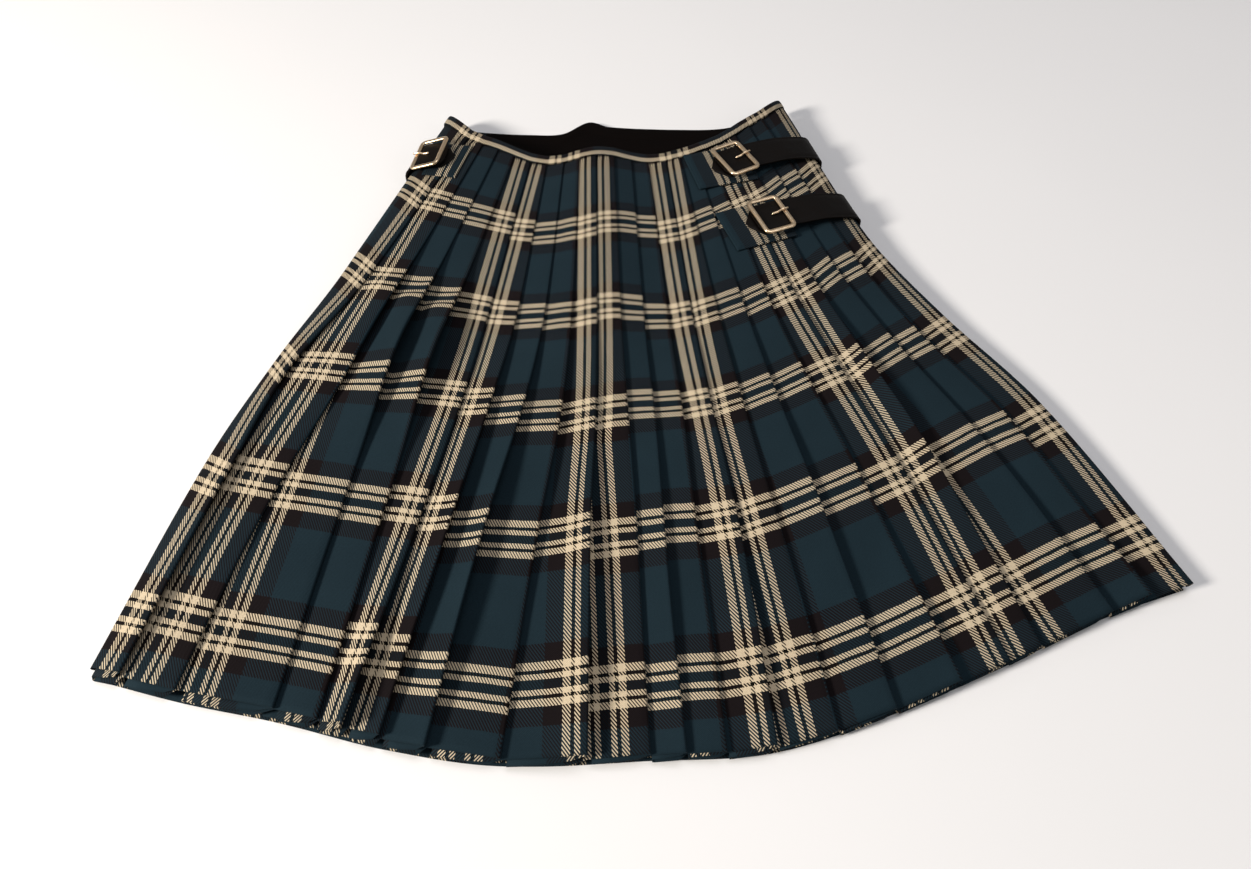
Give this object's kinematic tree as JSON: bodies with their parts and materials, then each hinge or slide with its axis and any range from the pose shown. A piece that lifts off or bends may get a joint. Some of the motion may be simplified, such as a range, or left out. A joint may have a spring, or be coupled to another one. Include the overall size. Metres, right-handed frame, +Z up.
{
  "type": "pleated scottish kilt laid flat",
  "caption": "Knee-length tartan kilt lying flat with its knife-pleated back up, open waist, flat aprons below, leather side straps and metal buckles.",
  "frame": {"origin": "the middle of the kilt's box, on the surface it lies on", "axes": "+X runs to the kilt's right side as it lies, +Y from the hem to the waist, +Z up from the surface"},
  "size_m": [0.778, 0.6954, 0.0446],
  "materials": {
    "tartan": "matte twill wool in dark teal, near-black navy and cream",
    "lining": "black plain-weave lining, soft low sheen",
    "leather": "black strap leather, satin, fine grain",
    "buckle_metal": "polished pale gold plate"
  },
  "bodies": {
    "root": {"over_apron": "tartan", "under_apron": "tartan", "pleated_back": "tartan", "waistband_back": "tartan", "waistband_front": "tartan", "lining_front": "lining", "tab_upper": "tartan", "chape_upper": "leather", "strap_upper": "leather", "buckle_upper": "buckle_metal", "prong_upper": "buckle_metal", "tab_lower": "tartan", "chape_lower": "leather", "strap_lower": "leather", "buckle_lower": "buckle_metal", "prong_lower": "buckle_metal", "tab_left": "tartan", "chape_left": "leather", "strap_left": "leather", "buckle_left": "buckle_metal", "prong_left": "buckle_metal"}
  },
  "joints": []
}
